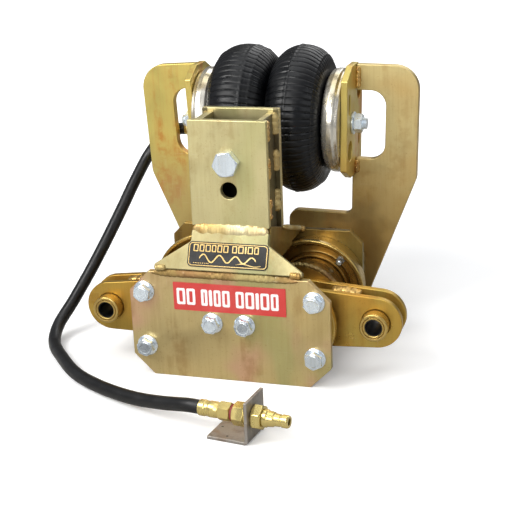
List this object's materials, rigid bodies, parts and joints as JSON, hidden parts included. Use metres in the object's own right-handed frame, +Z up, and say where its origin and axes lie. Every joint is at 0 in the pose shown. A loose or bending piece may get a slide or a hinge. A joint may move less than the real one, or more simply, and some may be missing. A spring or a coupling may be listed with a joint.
{
  "type": "air-sprung trailer suspension equaliser",
  "caption": "Plated steel trailer equaliser: a box tube over two hinged bell-crank arms that squeeze a rubber air spring, with a fill hose and bracket.",
  "frame": {"origin": "on the floor, under the middle of the body's length and depth, hose and bracket left out", "axes": "+Z up, -Y towards the viewer's side, where the front plate is; +X to the right along the trailer"},
  "size_m": [0.3547, 0.3706, 0.2751],
  "materials": {
    "gold_plating": "yellow zinc plating, faintly iridescent",
    "box_plating": "pale yellow zinc plating",
    "arm_plating": "yellow zinc plating with orange streaks",
    "turned_plating": "glossy yellow zinc on turned steel",
    "bright_zinc": "bright blue-white zinc",
    "bead_steel": "polished and slightly tarnished",
    "bag_rubber": "moulded black rubber with a soft sheen",
    "hose_rubber": "satin black air hose",
    "brass": "bright machined brass",
    "bare_steel": "bare rolled steel",
    "red_seal": "dark red rubber",
    "black_badge": "black badge with gold line work",
    "red_label": "red vinyl label"
  },
  "bodies": {
    "hanger": {"air_hose": "hose_rubber", "bearing_carrier_left": "turned_plating", "bearing_carrier_right": "turned_plating", "bearing_housing_left": "gold_plating", "bearing_housing_right": "gold_plating", "box_back": "box_plating", "box_front": "box_plating", "box_web_left": "box_plating", "box_web_right": "box_plating", "coupler_plug": "brass", "deck_plate": "gold_plating", "flange_bolt_left_inner": "bright_zinc", "flange_bolt_left_lower": "bright_zinc", "flange_bolt_left_upper": "bright_zinc", "flange_bolt_right_inner": "bright_zinc", "flange_bolt_right_lower": "bright_zinc", "flange_bolt_right_upper": "bright_zinc", "floor_bracket": "bare_steel", "front_plate": "gold_plating", "girdle_hoop": "bag_rubber", "grease_fitting_left": "bright_zinc", "grease_fitting_right": "bright_zinc", "hanger_bolt": "bright_zinc", "hanger_nut": "bright_zinc", "hex_union": "brass", "hose_ferrule": "brass", "lock_nut": "brass", "name_plate": "black_badge", "rear_plate": "gold_plating", "side_rib_left": "gold_plating", "side_rib_right": "gold_plating", "sloped_plate": "gold_plating", "spindle_left": "turned_plating", "spindle_nut_left": "bright_zinc", "spindle_nut_right": "bright_zinc", "spindle_right": "turned_plating", "swivel_nut": "brass", "union_seal": "red_seal", "warning_label": "red_label"},
    "left_arm": {"arm_plate_left": "arm_plating", "bag_plate_left": "arm_plating", "bag_stud_left": "bright_zinc", "bead_plate_left": "bead_steel", "bellows_left": "bag_rubber", "hub_tube_left": "turned_plating", "lug_front_plate_left": "arm_plating", "lug_rear_plate_left": "arm_plating", "lug_spacer_left": "arm_plating", "shackle_sleeve_left": "turned_plating", "air_fitting": "brass"},
    "right_arm": {"arm_plate_right": "arm_plating", "bag_plate_right": "arm_plating", "bag_stud_right": "bright_zinc", "bead_plate_right": "bead_steel", "bellows_right": "bag_rubber", "hub_tube_right": "turned_plating", "lug_front_plate_right": "arm_plating", "lug_rear_plate_right": "arm_plating", "lug_spacer_right": "arm_plating", "shackle_sleeve_right": "turned_plating"}
  },
  "joints": [
    {"name": "left_arm_turn", "type": "hinge", "parent": "hanger", "child": "left_arm", "pos_m": [-0.0522, -0.022, 0.0547], "axis": [0, 1, 0], "range_deg": [-5, 7], "stiffness_Nm_per_rad": 1500, "deforming": ["bellows_left", "air_hose"]},
    {"name": "right_arm_turn", "type": "hinge", "parent": "hanger", "child": "right_arm", "pos_m": [0.0522, -0.022, 0.0547], "axis": [0, -1, 0], "range_deg": [-5, 7], "stiffness_Nm_per_rad": 1500, "deforming": ["bellows_right"]}
  ]
}
